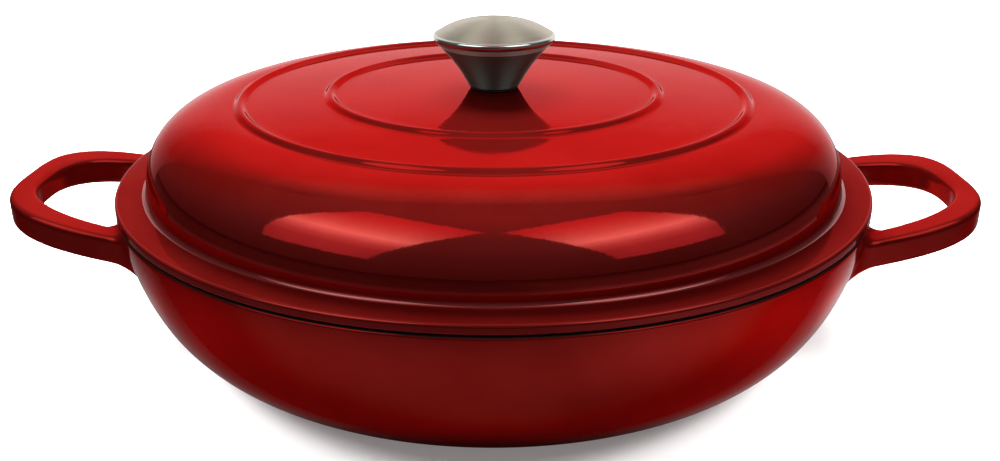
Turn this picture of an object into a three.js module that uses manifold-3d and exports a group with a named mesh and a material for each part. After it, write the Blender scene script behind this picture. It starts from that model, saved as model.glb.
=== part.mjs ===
// Shallow enamelled cast iron pot with two loop handles, a domed lid and a flared steel knob.
// Millimetres, +Z up. The origin is the middle of the base, on the surface that the pot stands on.
// The handles lie along X.
import * as THREE from 'three';
import { mergeVertices } from 'three/addons/utils/BufferGeometryUtils.js';
import Module from 'manifold-3d';

// Pot casting
const POT_HEIGHT = 60.5; // base to the top of the rim
const RIM_RADIUS = 150; // outside of the rim and of the lid's flange
const RIM_LAND = 5.5; // width of the bare ring that the lid sits on
const RIM_EDGE = 1.1; // rounding of the rim's two edges
const BASE_RADIUS = 100; // flat part of the underside
const BASE_SWEEP = 35; // how far the wall's curve runs out along the base before it rises
const WALL_LEAN = 4.2; // how far the wall leans in below the rim
const WALL_RISE = 30; // height of the upper, steep part of the wall
const FLOOR_THICKNESS = 5;
const WALL_THICKNESS = 4.5;

// Loop handles
const HANDLE_REACH = 45.6; // tip beyond the rim
const HANDLE_WIDTH = 100.5; // across the loop at its roots
const HANDLE_DROP = 10.6; // top of the handle below the rim, where the handle leaves the wall
const HANDLE_TILT = 13; // degrees that the handle rises towards its tip
const HANDLE_SQUARENESS = 3.4; // power of the loop's oval: 2 is an ellipse, more is squarer
const HANDLE_THICKNESS = 11;
const HANDLE_TIP_BAR = 8; // width of the bar at the tip
const HANDLE_SIDE_BAR = 11.5; // width of the bar along the sides
const HANDLE_EDGE = 2.4; // rounding of the bar's edges
const HANDLE_FILLET = 7; // fillet between the bar's outer side and the pot's wall, seen from above
const HANDLE_INNER_FILLET = 12; // the same inside the loop
const HANDLE_SINK = 20; // middle of the loop's oval inside the rim
const HANDLE_ROOT = 12; // how far the bar's end lies inside the wall's outline

// Lid casting
const SEAT_GAP = 0.3; // clearance where one piece sits on another
const FLANGE_WIDTH = 11.8; // foot of the dome to the flange's edge
const FLANGE_THICKNESS = 3.6;
const FLANGE_EDGE = 1.1; // rounding of the flange's edges
const VALLEY_RADIUS = 1.8; // fillet between the dome and the flange
const DOME_HEIGHT = 29.3; // top of the flange to the shoulder
const DOME_RUN = 2.6; // how far the crown carries on past the shoulder before it turns down
const DOME_FALL = 28.2; // height of the lower, steep part of the dome
const CROWN_RISE = 2.5; // shoulder to the middle of the lid
const OUTER_BEAD_RADIUS = 100.8;
const INNER_BEAD_RADIUS = 65.8;
const BEAD_WIDTH = 6;
const BEAD_HEIGHT = 1.75;
const LID_WALL = 4;
const LIP_DEPTH = 4; // locating lip below the flange
const LIP_THICKNESS = 4;
const LIP_CLEARANCE = 1; // lip to the inside of the rim
const SCREW_HOLE_RADIUS = 3.5;

// Knob
const KNOB_FOOT_RADIUS = 10.3;
const KNOB_STEM_RISE = 7; // height of the stem's slim part
const KNOB_STEM_SPREAD = 3.8; // how far the slim part opens
const KNOB_HEIGHT = 17.8; // foot to the seat of the cap
const KNOB_MOUTH_RADIUS = 23.6; // outside of the flare at the cap's seat
const KNOB_FLARE = 7; // run of the flare's upper part, which leans at 45 degrees
const KNOB_WALL = 1.5;
const KNOB_LAND = 3; // width of the ring that the cap sits on
const CAP_RADIUS = 24.5;
const CAP_EDGE = 2.6; // height of the cap's edge
const CAP_ROLL = 1.1; // rounding of that edge
const CAP_RISE = 5.6; // edge to the middle of the cap's top
const CAP_FLATNESS = 3; // power of the top's curve: 2 is a parabola, more is flatter in the middle
const CAP_SPIGOT_DEPTH = 1.3; // ring under the cap that locates it in the knob's mouth
const CAP_SPIGOT_WALL = 1.2;
const CAP_CLEARANCE = 0.3;

// Fastening of the knob
const SCREW_RADIUS = 2.7;
const SCREW_HEAD_RADIUS = 5.5;
const SCREW_HEAD_HEIGHT = 3.6;
const SCREW_SLOT_WIDTH = 1.6;
const SCREW_SLOT_DEPTH = 1.4;
const THREAD_CLEARANCE = 0.3;
const SCREW_ENGAGEMENT = 10; // length of screw inside the bush
const BUSH_RADIUS = 5.6;
const BUSH_HEIGHT = 13;
const BUSH_COLLAR_RADIUS = 7.4;
const BUSH_COLLAR_HEIGHT = 2;
const GASKET_THICKNESS = 0.8;
const GASKET_INSET = 0.6; // edge of the gasket inside the knob's foot
const WASHER_RADIUS = 8;
const WASHER_THICKNESS = 1;
const SPRING_WASHER_RADIUS = 5.2;
const SPRING_WASHER_THICKNESS = 1.6;
const SPRING_WASHER_SLIT = 0.8;

// Smoothness of the round shapes
const CASTING_FACETS = 56;
const SMALL_FACETS = 28;
const CURVE_STEPS = 8;
const EDGE_STEPS = 2;
const WELD_DISTANCE = 1e-4; // corners closer than this are one corner

const wasm = await Module();
wasm.setup();

const point = (radius, height) => new THREE.Vector2(radius, height);

// Points of a cubic curve between four control points
function curve(a, b, c, d, steps = CURVE_STEPS) {
  return new THREE.CubicBezierCurve(a, b, c, d).getPoints(steps);
}

// Points of an arc, angles in degrees
function arc(centre, radius, from, to, steps = EDGE_STEPS) {
  const points = [];
  for (let i = 0; i <= steps; i += 1) {
    const angle = THREE.MathUtils.degToRad(from + ((to - from) * i) / steps);
    points.push(point(centre.x + radius * Math.cos(angle), centre.y + radius * Math.sin(angle)));
  }
  return points;
}

// Curve moved sideways to its left, by a thickness that changes evenly from one end to the other
function offset(points, first, last) {
  return points.map((p, i) => {
    const before = points[Math.max(i - 1, 0)];
    const after = points[Math.min(i + 1, points.length - 1)];
    const along = after.clone().sub(before).normalize();
    const share = i / (points.length - 1);
    const depth = first + (last - first) * share;
    return point(p.x - along.y * depth, p.y + along.x * depth);
  });
}

// Solid of revolution about Z from a profile that runs counter-clockwise with the radius to the right
function turned(profile, facets) {
  const closed = profile[0].x === 0 ? profile : [...profile, profile[0].clone()];
  const geometry = new THREE.LatheGeometry(closed, facets);
  geometry.rotateX(Math.PI / 2);
  return welded(geometry);
}

// Geometry with shared corners merged and collapsed triangles left out
function welded(geometry) {
  geometry.deleteAttribute('normal');
  geometry.deleteAttribute('uv');
  const merged = mergeVertices(geometry, WELD_DISTANCE);
  const index = merged.index.array;
  const kept = [];
  for (let i = 0; i < index.length; i += 3) {
    const [a, b, c] = [index[i], index[i + 1], index[i + 2]];
    if (a !== b && b !== c && c !== a) {
      kept.push(a, b, c);
    }
  }
  merged.setIndex(kept);
  return merged;
}

// Closed mesh as a solid that can be joined and cut
function toSolid(geometry) {
  const vertProperties = new Float32Array(geometry.attributes.position.array);
  const triVerts = new Uint32Array(geometry.index.array);
  return new wasm.Manifold(new wasm.Mesh({ numProp: 3, vertProperties, triVerts }));
}

// Joined or cut solid back as a mesh
function toGeometry(solid) {
  const { vertProperties, triVerts } = solid.getMesh();
  const geometry = new THREE.BufferGeometry();
  geometry.setAttribute('position', new THREE.BufferAttribute(new Float32Array(vertProperties), 3));
  geometry.setIndex(new THREE.BufferAttribute(new Uint32Array(triVerts), 1));
  return geometry;
}

// Named sub-part with its own material
function piece(name, geometry, color, roughness, metalness) {
  const material = new THREE.MeshStandardMaterial({ color, roughness, metalness });
  const mesh = new THREE.Mesh(geometry, material);
  mesh.name = name;
  geometry.computeVertexNormals();
  return mesh;
}

// Outer curve of the pot's wall, from the edge of the flat base up to the rim
const wallCurve = curve(
  point(BASE_RADIUS, 0),
  point(BASE_RADIUS + BASE_SWEEP, 0),
  point(RIM_RADIUS - WALL_LEAN, POT_HEIGHT - WALL_RISE),
  point(RIM_RADIUS, POT_HEIGHT - RIM_EDGE),
);

// Outside radius of the wall at a height, between the points of its curve
function wallRadius(height) {
  const above = wallCurve.findIndex((p) => p.y >= height);
  const upper = wallCurve[above];
  const lower = wallCurve[above - 1];
  const share = (height - lower.y) / (upper.y - lower.y);
  return lower.x + (upper.x - lower.x) * share;
}

// Outline of one side of the bar, seen from above, from the wall at +Y round the tip to the wall at -Y.
// It is half a squared oval that ends in fillet arcs on the round wall, then runs on into the casting.
// The fillets lie beyond the bar's outer side (side = 1) or inside the loop (side = -1).
function barOutline(wall, half, tip, side) {
  const centre = RIM_RADIUS - HANDLE_SINK;
  const length = tip - centre;
  const filletRadius = side > 0 ? HANDLE_FILLET : HANDLE_INNER_FILLET;
  const startShare = (wall + filletRadius - centre) / length;
  const startHalf = half * (1 - startShare ** HANDLE_SQUARENESS) ** (1 / HANDLE_SQUARENESS);
  const filletY = startHalf + side * filletRadius;
  const filletX = Math.sqrt((wall + filletRadius) ** 2 - filletY ** 2);
  const towardsAxis = THREE.MathUtils.radToDeg(Math.atan2(-filletY, -filletX));
  const wallAngle = side > 0 ? towardsAxis : towardsAxis + 360;
  const fillet = arc(point(filletX, filletY), filletRadius, wallAngle, -side * 90);
  const buried = fillet[0].clone().multiplyScalar(1 - HANDLE_ROOT / wall);
  const start = Math.acos(((filletX - centre) / length) ** (HANDLE_SQUARENESS / 2));
  const oval = [];
  for (let i = 1; i <= CURVE_STEPS; i += 1) {
    const angle = start * (1 - i / CURVE_STEPS);
    const along = Math.cos(angle) ** (2 / HANDLE_SQUARENESS);
    const aside = Math.sin(angle) ** (2 / HANDLE_SQUARENESS);
    oval.push(point(centre + length * along, half * aside));
  }
  const upper = [buried, ...fillet, ...oval];
  const lower = upper.slice(0, -1).reverse().map((p) => point(p.x, -p.y));
  return [...upper, ...lower];
}

// Rounded section of the bar between a point of its outer side and one of its inner side.
// The bar's middle height rises outwards from the rim.
function barSection(outer, inner, middle) {
  const slope = Math.tan(THREE.MathUtils.degToRad(HANDLE_TILT));
  const edge = Math.min(HANDLE_EDGE, HANDLE_THICKNESS / 2 - SEAT_GAP);
  const across = outer.clone().sub(inner);
  const flatX = across.length() / 2 - edge;
  const flatZ = HANDLE_THICKNESS / 2 - edge;
  const centre = outer.clone().add(inner).divideScalar(2);
  across.normalize();
  const corners = [
    ...arc(point(flatX, flatZ), edge, 0, 90),
    ...arc(point(-flatX, flatZ), edge, 90, 180),
    ...arc(point(-flatX, -flatZ), edge, 180, 270),
    ...arc(point(flatX, -flatZ), edge, 270, 360),
  ];
  return corners.map((p) => {
    const x = centre.x + across.x * p.x;
    const y = centre.y + across.y * p.x;
    return new THREE.Vector3(x, y, middle + slope * (x - RIM_RADIUS) + p.y);
  });
}

// Solid through a row of sections that each turn anticlockwise seen from the next, closed at both ends
function lofted(sections) {
  const count = sections[0].length;
  const index = [];
  for (let s = 0; s + 1 < sections.length; s += 1) {
    for (let i = 0; i < count; i += 1) {
      const a = s * count + i;
      const b = s * count + ((i + 1) % count);
      index.push(a, b, b + count, a, b + count, a + count);
    }
  }
  const last = (sections.length - 1) * count;
  for (let i = 1; i + 1 < count; i += 1) {
    index.push(0, i + 1, i, last, last + i, last + i + 1);
  }
  const geometry = new THREE.BufferGeometry().setFromPoints(sections.flat());
  geometry.setIndex(index);
  return welded(geometry);
}

// One loop handle, turned about Z to its side of the pot
function handle(turn) {
  const middle = POT_HEIGHT - HANDLE_DROP - HANDLE_THICKNESS / 2;
  const wall = wallRadius(middle);
  const tip = RIM_RADIUS + HANDLE_REACH;
  const outer = barOutline(wall, HANDLE_WIDTH / 2, tip, 1);
  const inner = barOutline(wall, HANDLE_WIDTH / 2 - HANDLE_SIDE_BAR, tip - HANDLE_TIP_BAR, -1);
  const bar = lofted(outer.map((p, i) => barSection(p, inner[i], middle)));
  bar.rotateZ(turn);
  return toSolid(bar);
}

// Pot: full bowl and both handles, with the inside cut out
function potBody() {
  const edgeTop = POT_HEIGHT - RIM_EDGE;
  const landInner = RIM_RADIUS - RIM_LAND;
  const bowl = turned([
    point(0, 0),
    ...wallCurve,
    ...arc(point(RIM_RADIUS - RIM_EDGE, edgeTop), RIM_EDGE, 0, 90).slice(1),
    point(0, POT_HEIGHT),
  ], CASTING_FACETS);
  const inside = offset(wallCurve, FLOOR_THICKNESS, WALL_THICKNESS);
  const below = inside.filter((p) => p.y < POT_HEIGHT - WALL_THICKNESS);
  const mouth = arc(point(landInner + RIM_EDGE, edgeTop), RIM_EDGE, 180, 90);
  const hollow = turned([
    point(0, FLOOR_THICKNESS),
    ...below,
    ...mouth,
    point(landInner + RIM_EDGE, POT_HEIGHT + WALL_THICKNESS),
    point(0, POT_HEIGHT + WALL_THICKNESS),
  ], CASTING_FACETS);
  const handles = handle(0).add(handle(Math.PI));
  return toGeometry(toSolid(bowl).add(handles).subtract(toSolid(hollow)));
}

// Heights in the lid's own frame, which starts at the flange's underside
const DOME_FOOT_RADIUS = RIM_RADIUS - FLANGE_WIDTH;
const SHOULDER_RADIUS = OUTER_BEAD_RADIUS + BEAD_WIDTH / 2;
const SHOULDER_HEIGHT = FLANGE_THICKNESS + DOME_HEIGHT;
const CROWN_HEIGHT = SHOULDER_HEIGHT + CROWN_RISE;

// Outer height of the crown, a shallow bowl shape upside down, without its beads
function crownHeight(radius) {
  return CROWN_HEIGHT - CROWN_RISE * (radius / SHOULDER_RADIUS) ** 2;
}

// Points over a raised bead, from its outer foot to its inner foot
function bead(radius) {
  const points = [];
  const steps = 2 * EDGE_STEPS;
  for (let i = 0; i <= steps; i += 1) {
    const across = 0.5 - i / steps;
    const at = radius + BEAD_WIDTH * across;
    points.push(point(at, crownHeight(at) + BEAD_HEIGHT * Math.cos(Math.PI * across) ** 2));
  }
  return points;
}

// Outer curve of the dome, from the top of its fillet at the flange up to the shoulder
function domeCurve() {
  const slope = (2 * CROWN_RISE) / SHOULDER_RADIUS;
  const footHeight = FLANGE_THICKNESS + VALLEY_RADIUS;
  return curve(
    point(DOME_FOOT_RADIUS, footHeight),
    point(DOME_FOOT_RADIUS, footHeight + DOME_FALL),
    point(SHOULDER_RADIUS + DOME_RUN, SHOULDER_HEIGHT - slope * DOME_RUN),
    point(SHOULDER_RADIUS, SHOULDER_HEIGHT),
  );
}

// Lid: lip, flange, valley, dome, beads and crown outside, the same walls inside
function lidBody() {
  const lipOuter = RIM_RADIUS - RIM_LAND - LIP_CLEARANCE;
  const lipInner = lipOuter - LIP_THICKNESS;
  const edgeRadius = RIM_RADIUS - FLANGE_EDGE;
  const lipRound = LIP_THICKNESS / 4;
  const dome = domeCurve();
  const inside = offset(dome, LID_WALL, LID_WALL).reverse();
  const midway = (INNER_BEAD_RADIUS + OUTER_BEAD_RADIUS) / 2;
  return turned([
    point(lipInner + lipRound, -LIP_DEPTH),
    ...arc(point(lipOuter - lipRound, lipRound - LIP_DEPTH), lipRound, -90, 0),
    point(lipOuter, 0),
    ...arc(point(edgeRadius, FLANGE_EDGE), FLANGE_EDGE, -90, 0),
    ...arc(point(edgeRadius, FLANGE_THICKNESS - FLANGE_EDGE), FLANGE_EDGE, 0, 90),
    ...arc(
      point(DOME_FOOT_RADIUS + VALLEY_RADIUS, FLANGE_THICKNESS + VALLEY_RADIUS), VALLEY_RADIUS, 270, 180,
    ),
    ...dome.slice(1, -1),
    ...bead(OUTER_BEAD_RADIUS),
    point(midway, crownHeight(midway)),
    ...bead(INNER_BEAD_RADIUS),
    point(INNER_BEAD_RADIUS / 2, crownHeight(INNER_BEAD_RADIUS / 2)),
    point(SCREW_HOLE_RADIUS, CROWN_HEIGHT),
    point(SCREW_HOLE_RADIUS, CROWN_HEIGHT - LID_WALL),
    point(INNER_BEAD_RADIUS / 2, crownHeight(INNER_BEAD_RADIUS / 2) - LID_WALL),
    point(midway, crownHeight(midway) - LID_WALL),
    ...inside,
    point(lipInner, lipRound - LIP_DEPTH),
  ], CASTING_FACETS);
}

// Knob pieces, in the knob's own frame, which starts at the underside of its foot
const MOUTH_BORE = KNOB_MOUTH_RADIUS - KNOB_LAND;
const MOUTH_DEPTH = CAP_SPIGOT_DEPTH + CAP_CLEARANCE;

// Hollow flared stem with a flat land and a shallow bore for the cap
function knobShell() {
  const stem = curve(
    point(KNOB_FOOT_RADIUS, 0),
    point(KNOB_FOOT_RADIUS + KNOB_STEM_SPREAD, KNOB_STEM_RISE),
    point(KNOB_MOUTH_RADIUS - KNOB_FLARE, KNOB_HEIGHT - KNOB_FLARE),
    point(KNOB_MOUTH_RADIUS, KNOB_HEIGHT),
  );
  const boreBottom = KNOB_HEIGHT - MOUTH_DEPTH;
  const inside = offset(stem, KNOB_WALL, KNOB_WALL);
  const hollow = inside.filter((p) => p.y > 2 * KNOB_WALL && p.y < boreBottom && p.x < MOUTH_BORE);
  return turned([
    point(BUSH_RADIUS + SEAT_GAP, 0),
    ...stem,
    point(MOUTH_BORE, KNOB_HEIGHT),
    point(MOUTH_BORE, boreBottom),
    ...hollow.reverse(),
    point(KNOB_FOOT_RADIUS - KNOB_WALL, KNOB_WALL),
    point(BUSH_RADIUS + SEAT_GAP, KNOB_WALL),
  ], SMALL_FACETS);
}

// Cap with a rounded edge, a shallow round top and a locating ring below
function knobCap() {
  const bottom = KNOB_HEIGHT + SEAT_GAP;
  const edgeTop = bottom + CAP_EDGE;
  const topRadius = CAP_RADIUS - CAP_ROLL;
  const spigotOuter = MOUTH_BORE - CAP_CLEARANCE;
  const spigotInner = spigotOuter - CAP_SPIGOT_WALL;
  const spigotBottom = bottom - CAP_SPIGOT_DEPTH;
  const top = [];
  for (let i = 1; i <= CURVE_STEPS; i += 1) {
    const share = 1 - i / CURVE_STEPS;
    top.push(point(topRadius * share, edgeTop + CAP_RISE * (1 - share ** CAP_FLATNESS)));
  }
  return turned([
    point(0, bottom),
    point(spigotInner, bottom),
    point(spigotInner, spigotBottom),
    point(spigotOuter, spigotBottom),
    point(spigotOuter, bottom),
    ...arc(point(topRadius, bottom + CAP_ROLL), CAP_ROLL, -90, 0),
    ...arc(point(topRadius, edgeTop - CAP_ROLL), CAP_ROLL, 0, 90),
    ...top,
  ], SMALL_FACETS);
}

// Threaded bush whose collar bears on the foot from inside
function knobBush() {
  const bore = SCREW_RADIUS + THREAD_CLEARANCE;
  const collarBottom = KNOB_WALL + SEAT_GAP;
  return turned([
    point(bore, 0),
    point(BUSH_RADIUS, 0),
    point(BUSH_RADIUS, collarBottom),
    point(BUSH_COLLAR_RADIUS, collarBottom),
    point(BUSH_COLLAR_RADIUS, collarBottom + BUSH_COLLAR_HEIGHT),
    point(BUSH_RADIUS, collarBottom + BUSH_COLLAR_HEIGHT),
    point(BUSH_RADIUS, BUSH_HEIGHT),
    point(bore, BUSH_HEIGHT),
  ], SMALL_FACETS);
}

// Flat ring standing on its own base plane
function ring(inner, outer, thickness) {
  return turned([
    point(inner, 0),
    point(outer, 0),
    point(outer, thickness),
    point(inner, thickness),
  ], SMALL_FACETS);
}

// Split washer: a ring with a narrow slit through one side
function springWasher() {
  const inner = SCREW_RADIUS + THREAD_CLEARANCE;
  const slit = new THREE.BoxGeometry(
    SPRING_WASHER_RADIUS, SPRING_WASHER_SLIT, 3 * SPRING_WASHER_THICKNESS,
  );
  slit.translate(-(inner + SPRING_WASHER_RADIUS) / 2, 0, SPRING_WASHER_THICKNESS / 2);
  const body = toSolid(ring(inner, SPRING_WASHER_RADIUS, SPRING_WASHER_THICKNESS));
  return toGeometry(body.subtract(toSolid(welded(slit))));
}

// Screw, in a frame that starts under its head, with a slot across the head
function knobScrew(length) {
  const crown = SCREW_HEAD_RADIUS / 2;
  const tip = SCREW_RADIUS / 3;
  const blank = turned([
    point(0, -SCREW_HEAD_HEIGHT),
    point(SCREW_HEAD_RADIUS - crown / 2, -SCREW_HEAD_HEIGHT),
    point(SCREW_HEAD_RADIUS, crown / 2 - SCREW_HEAD_HEIGHT),
    point(SCREW_HEAD_RADIUS, 0),
    point(SCREW_RADIUS, 0),
    point(SCREW_RADIUS, length - tip),
    point(SCREW_RADIUS - tip, length),
    point(0, length),
  ], SMALL_FACETS);
  const slot = new THREE.BoxGeometry(3 * SCREW_HEAD_RADIUS, SCREW_SLOT_WIDTH, 2 * SCREW_SLOT_DEPTH);
  slot.translate(0, 0, -SCREW_HEAD_HEIGHT);
  return toGeometry(toSolid(blank).subtract(toSolid(welded(slot))));
}

const RED_ENAMEL = 0xa81a14;
const STEEL = 0xc3b8a7;
const DARK_STEEL = 0x8a8378;
const ZINC = 0xa9adb0;
const GREY_RUBBER = 0x3a3a3c;

const pot = piece('pot_body', potBody(), RED_ENAMEL, 0.1, 0);

const lid = new THREE.Group();
lid.position.z = POT_HEIGHT + SEAT_GAP;
lid.add(piece('lid', lidBody(), RED_ENAMEL, 0.1, 0));

// Stack above the lid: gasket, then the knob on it
const gasketBottom = CROWN_HEIGHT + SEAT_GAP;
const gasket = ring(BUSH_RADIUS, KNOB_FOOT_RADIUS - GASKET_INSET, GASKET_THICKNESS);
const gasketMesh = piece('knob_gasket', gasket, GREY_RUBBER, 0.8, 0);
gasketMesh.position.z = gasketBottom;
lid.add(gasketMesh);

const knob = new THREE.Group();
knob.position.z = gasketBottom + GASKET_THICKNESS + SEAT_GAP;
knob.add(piece('knob_shell', knobShell(), DARK_STEEL, 0.15, 1));
knob.add(piece('knob_cap', knobCap(), STEEL, 0.35, 1));
knob.add(piece('knob_bush', knobBush(), ZINC, 0.5, 1));
lid.add(knob);

// Stack below the lid: flat washer, split washer, then the screw's head
const washerBottom = CROWN_HEIGHT - LID_WALL - SEAT_GAP - WASHER_THICKNESS;
const washer = piece('flat_washer', ring(SCREW_HOLE_RADIUS, WASHER_RADIUS, WASHER_THICKNESS), ZINC, 0.4, 1);
washer.position.z = washerBottom;
lid.add(washer);

const springBottom = washerBottom - SEAT_GAP - SPRING_WASHER_THICKNESS;
const spring = piece('spring_washer', springWasher(), ZINC, 0.4, 1);
spring.position.z = springBottom;
lid.add(spring);

const headTop = springBottom - SEAT_GAP;
const screw = piece('knob_screw', knobScrew(knob.position.z + SCREW_ENGAGEMENT - headTop), ZINC, 0.35, 1);
screw.position.z = headTop;
lid.add(screw);

const casserole = new THREE.Group();
casserole.add(pot, lid);

export default casserole;
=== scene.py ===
"""Looks of the shallow enamelled cast iron pot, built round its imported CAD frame.

Metres, +Z up, the origin is the middle of the base. The handles lie along X.
Every visible piece is a surface of revolution or a section carried along a path.
"""
import math

import bpy
import numpy as np
from mathutils import Matrix, Vector


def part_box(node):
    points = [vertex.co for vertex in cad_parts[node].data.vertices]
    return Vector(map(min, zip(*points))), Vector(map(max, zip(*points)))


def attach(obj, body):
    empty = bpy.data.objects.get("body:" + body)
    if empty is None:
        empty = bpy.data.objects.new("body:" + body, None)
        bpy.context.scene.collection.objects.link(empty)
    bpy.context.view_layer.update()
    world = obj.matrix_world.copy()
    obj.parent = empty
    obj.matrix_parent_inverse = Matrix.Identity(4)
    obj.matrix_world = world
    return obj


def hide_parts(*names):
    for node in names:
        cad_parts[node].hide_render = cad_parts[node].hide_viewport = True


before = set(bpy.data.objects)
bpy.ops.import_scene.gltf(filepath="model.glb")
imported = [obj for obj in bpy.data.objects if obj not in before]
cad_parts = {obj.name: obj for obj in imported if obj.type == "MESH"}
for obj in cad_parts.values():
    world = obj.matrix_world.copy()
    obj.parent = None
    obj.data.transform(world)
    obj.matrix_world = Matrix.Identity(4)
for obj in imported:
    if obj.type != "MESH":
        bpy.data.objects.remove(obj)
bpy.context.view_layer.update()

MM = 0.001

# Fineness of the surfaces
CASTING_SEGMENTS = 288
SMALL_SEGMENTS = 128
CASTING_STEP = 4 * MM
KNOB_STEP = 1.5 * MM
FASTENER_STEP = 1 * MM
CURVE_POINTS = 72
BEAD_POINTS = 25
KNOB_POINTS = 40
BAR_STEPS = 97
FLARE_STEPS = 11
HALVINGS = 40
WASHER_STEPS = 120
THREAD_STEPS = 150
ON_AXIS = 1e-9
SAME_POINT = 1e-7

# Sizes read from the frame
pot_low, pot_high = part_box("pot_body")
lid_low, lid_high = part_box("lid")
shell_low, shell_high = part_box("knob_shell")
cap_low, cap_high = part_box("knob_cap")
gasket_low, gasket_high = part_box("knob_gasket")
bush_low, bush_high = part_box("knob_bush")
washer_low, washer_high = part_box("flat_washer")
spring_low, spring_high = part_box("spring_washer")
screw_low, screw_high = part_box("knob_screw")
RIM_RADIUS = lid_high.y
RIM_HEIGHT = pot_high.z
HANDLE_TIP = pot_high.x

# Sizes of the pot that its box doesn't show
BASE_RADIUS = 100 * MM
BASE_SWEEP = 35 * MM
WALL_LEAN = 4.2 * MM
WALL_RISE = 30 * MM
WALL_THICKNESS = 4.5 * MM
FLOOR_THICKNESS = 5 * MM
RIM_LAND = 5.5 * MM
RIM_EDGE = 1.1 * MM
BARE_OUTSIDE = 0.35 * MM
BARE_INSIDE = 0.6 * MM

# Sizes of the handles
LOOP_SINK = 20 * MM
LOOP_CENTRE = RIM_RADIUS - LOOP_SINK
LOOP_HALF = 48.6 * MM
LOOP_POWER = 3.2
HOLE_POWER = 2.6
TIP_BAR = 7.4 * MM
SIDE_BAR = 10.2 * MM
BAR_HALF_HEIGHT = 5.8 * MM
BAR_EDGE = 2.4 * MM
BAR_DROP = 10.3 * MM
BAR_MIDDLE = RIM_HEIGHT - BAR_DROP - BAR_HALF_HEIGHT
BAR_SLOPE = math.tan(math.radians(11.5))
OUTER_FILLET = 7 * MM
INNER_FILLET = 12 * MM
UPPER_FILLET = 5 * MM
LOWER_FILLET = 9.5 * MM
ROOT_DEPTHS = (1.6 * MM, 0.35 * MM)
ROOT_LIFT = 0.2 * MM
ROOT_ANGLES = (0.6, 1.56)

# Sizes of the lid
LIP_DEPTH = 4 * MM
LIP_THICKNESS = 4 * MM
LIP_CLEARANCE = 1 * MM
LID_BASE = lid_low.z + LIP_DEPTH
FLANGE_WIDTH = 11.8 * MM
FLANGE_THICKNESS = 3.6 * MM
FLANGE_EDGE = 1.1 * MM
SEAT_INSET = 0.5 * MM
SEAT_RISE = 0.2 * MM
VALLEY_RADIUS = 1.8 * MM
DOME_RUN = 2.6 * MM
DOME_FALL = 28.2 * MM
CROWN_RISE = 2.5 * MM
LID_WALL = 4 * MM
UNDER_INSET = 1 * MM
OUTER_BEAD = 100.8 * MM
INNER_BEAD = 65.8 * MM
BEAD_WIDTH = 6 * MM
BEAD_HEIGHT = 1.5 * MM
SCREW_HOLE = 3.5 * MM
GASKET_GAP = 0.3 * MM
SHOULDER = OUTER_BEAD + BEAD_WIDTH / 2
CROWN_HEIGHT = gasket_low.z - GASKET_GAP
COAT_FADE = (CROWN_HEIGHT - 13.5 * MM, CROWN_HEIGHT - 9.5 * MM)

# Sizes of the knob and its fastening
KNOB_FOOT = 10.3 * MM
KNOB_MOUTH = 23.6 * MM
KNOB_FLARE = 7 * MM
KNOB_STEM_RISE = 7 * MM
KNOB_STEM_SPREAD = 3.8 * MM
KNOB_WALL = 1.5 * MM
# Radius on the stem's flare from which the shell turns to pale steel, a painted highlight
PAINTED_HIGHLIGHT_RADIUS = 21.6 * MM
MOUTH_LAND = 3 * MM
MOUTH_BORE = KNOB_MOUTH - MOUTH_LAND
MOUTH_DEPTH = 1.6 * MM
CAP_EDGE = 2.6 * MM
CAP_ROLL = 1.1 * MM
CAP_SPIGOT = 1.3 * MM
SPIGOT_WALL = 1.2 * MM
CAP_FLATNESS = 3
FIT_CLEARANCE = 0.3 * MM
BUSH_RADIUS = 5.6 * MM
BUSH_EDGE = 0.3 * MM
COLLAR_HEIGHT = 2 * MM
RING_EDGE = 0.2 * MM
SLIT_HALF = 0.4 * MM
THREAD_RADIUS = 2.7 * MM
THREAD_PITCH = 0.8 * MM
THREAD_DEPTH = 0.42 * MM
THREAD_START = 1 * MM
HEAD_HEIGHT = 3.6 * MM
HEAD_ROUND = 1.4 * MM
HEAD_BREAK = 0.2 * MM
HEAD_MIDDLE = 0.35 * MM
SLOT_HALF = 0.8 * MM
SLOT_DEPTH = 1.4 * MM
POINT_RADIUS = 1.8 * MM
POINT_LENGTH = 0.9 * MM


# Curves in the profile plane: radius to the right, height up
def arc(centre, radius, start, end, count):
    """Centre plus radius times the cosine and sine of evenly spaced angles in degrees."""
    angle = np.radians(np.linspace(start, end, count))
    return np.stack([centre[0] + radius * np.cos(angle), centre[1] + radius * np.sin(angle)], axis=1)


def bezier(a, b, c, d, count):
    """Cubic curve: four points weighted by (1-t)^3, 3t(1-t)^2, 3t^2(1-t) and t^3."""
    t = np.linspace(0, 1, count)[:, None]
    a, b, c, d = (np.array(p, float) for p in (a, b, c, d))
    return (1 - t) ** 3 * a + 3 * t * (1 - t) ** 2 * b + 3 * t ** 2 * (1 - t) * c + t ** 3 * d


def offset(points, first, last):
    """Curve moved to its left by a thickness that changes evenly from one end to the other."""
    along = np.gradient(points, axis=0)
    along /= np.hypot(along[:, 0], along[:, 1])[:, None]
    depth = np.linspace(first, last, len(points))
    return points + depth[:, None] * np.stack([-along[:, 1], along[:, 0]], axis=1)


def joined(*runs):
    """One profile from several runs of points, with repeated points left out."""
    points = np.concatenate([np.array(run, float).reshape(-1, 2) for run in runs])
    step = np.hypot(*np.diff(points, axis=0).T)
    return points[np.concatenate([[True], step > SAME_POINT])]


def dense(points, longest):
    """Profile with extra points spaced evenly along its straight runs, no step longer than given."""
    step = np.hypot(*np.diff(points, axis=0).T)
    parts = np.maximum(1, np.ceil(step / longest)).astype(int)
    start = np.repeat(np.arange(len(step)), parts)
    first = np.repeat(np.cumsum(parts) - parts, parts)
    share = (np.arange(parts.sum()) - first) / parts[start]
    between = points[start] + share[:, None] * (points[start + 1] - points[start])
    return np.concatenate([between, points[-1:]])


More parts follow.
